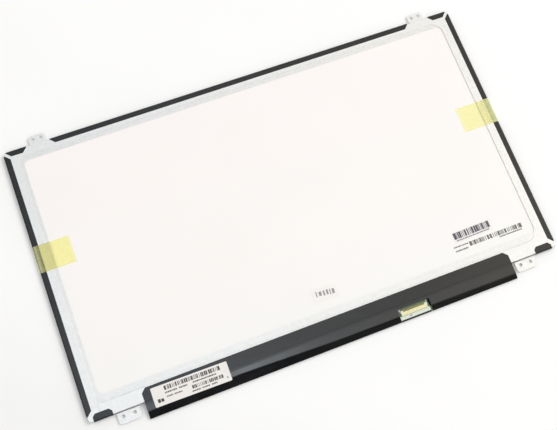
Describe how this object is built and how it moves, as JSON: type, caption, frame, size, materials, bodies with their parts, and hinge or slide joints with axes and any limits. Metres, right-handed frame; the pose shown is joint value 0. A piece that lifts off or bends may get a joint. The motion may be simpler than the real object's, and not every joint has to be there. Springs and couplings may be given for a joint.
{
  "type": "laptop screen panel",
  "caption": "Slim laptop LCD screen panel lying face down: steel back with a white reflector, black edge tape, screw tabs and a film-covered control board.",
  "frame": {"origin": "middle of the body's outline, on the plane that the screen film rests on", "axes": "+X along the width, +Y towards the top edge, +Z from the screen to the back"},
  "size_m": [0.3596, 0.2243, 0.0032],
  "materials": {
    "clear_film": "clear glossy film",
    "polarizer": "dark satin polarizing foil",
    "cell_glass": "thin clear glass",
    "sheet_film": "milky optical film",
    "light_guide": "clear moulded plate",
    "reflector_white": "warm white satin sheet",
    "led_white": "white package with phosphor",
    "flex_circuit": "amber flexible circuit",
    "mould_white": "moulded white plastic",
    "frame_steel": "pale plated sheet steel",
    "black_tape": "black satin tape",
    "board_green": "olive green solder mask",
    "tinned_metal": "dull tinned metal",
    "cream_plastic": "cream moulded plastic",
    "gold_contact": "plated contacts",
    "chip_black": "black chip package",
    "ferrite": "dark sintered ceramic",
    "black_film": "black glossy film with a soft crease",
    "label_paper": null,
    "yellow_tape": "clear pale yellow tape"
  },
  "bodies": {
    "root": {"front_protective_film": "clear_film", "front_polarizer": "polarizer", "colour_filter_glass": "cell_glass", "tft_glass": "cell_glass", "rear_polarizer": "polarizer", "cell_gasket": "black_tape", "upper_diffuser": "sheet_film", "upper_prism_sheet": "sheet_film", "lower_prism_sheet": "sheet_film", "lower_diffuser": "sheet_film", "light_guide_plate": "light_guide", "reflector_sheet": "reflector_white", "side_leds": "led_white", "led_flex": "flex_circuit", "mould_frame": "mould_white", "rear_frame": "frame_steel", "edge_tape_top": "black_tape", "edge_tape_left": "black_tape", "edge_tape_right": "black_tape", "edge_tape_top_left": "black_tape", "edge_tape_top_right": "black_tape", "edge_tape_bottom_left": "black_tape", "edge_tape_bottom_right": "black_tape", "control_board": "board_green", "ground_pad": "tinned_metal", "connector_housing": "cream_plastic", "connector_contacts": "gold_contact", "connector_lugs": "tinned_metal", "driver_films": "flex_circuit", "driver_chips": "chip_black", "timing_controller": "chip_black", "power_inductors": "ferrite", "chip_capacitors": "ferrite", "led_connector": "cream_plastic", "board_cover_film": "black_film", "board_edge_tape": "black_film", "rating_label": "label_paper", "barcode_label": "label_paper", "lot_label": "label_paper", "yellow_tape_left": "yellow_tape", "yellow_tape_right": "yellow_tape"}
  },
  "joints": []
}
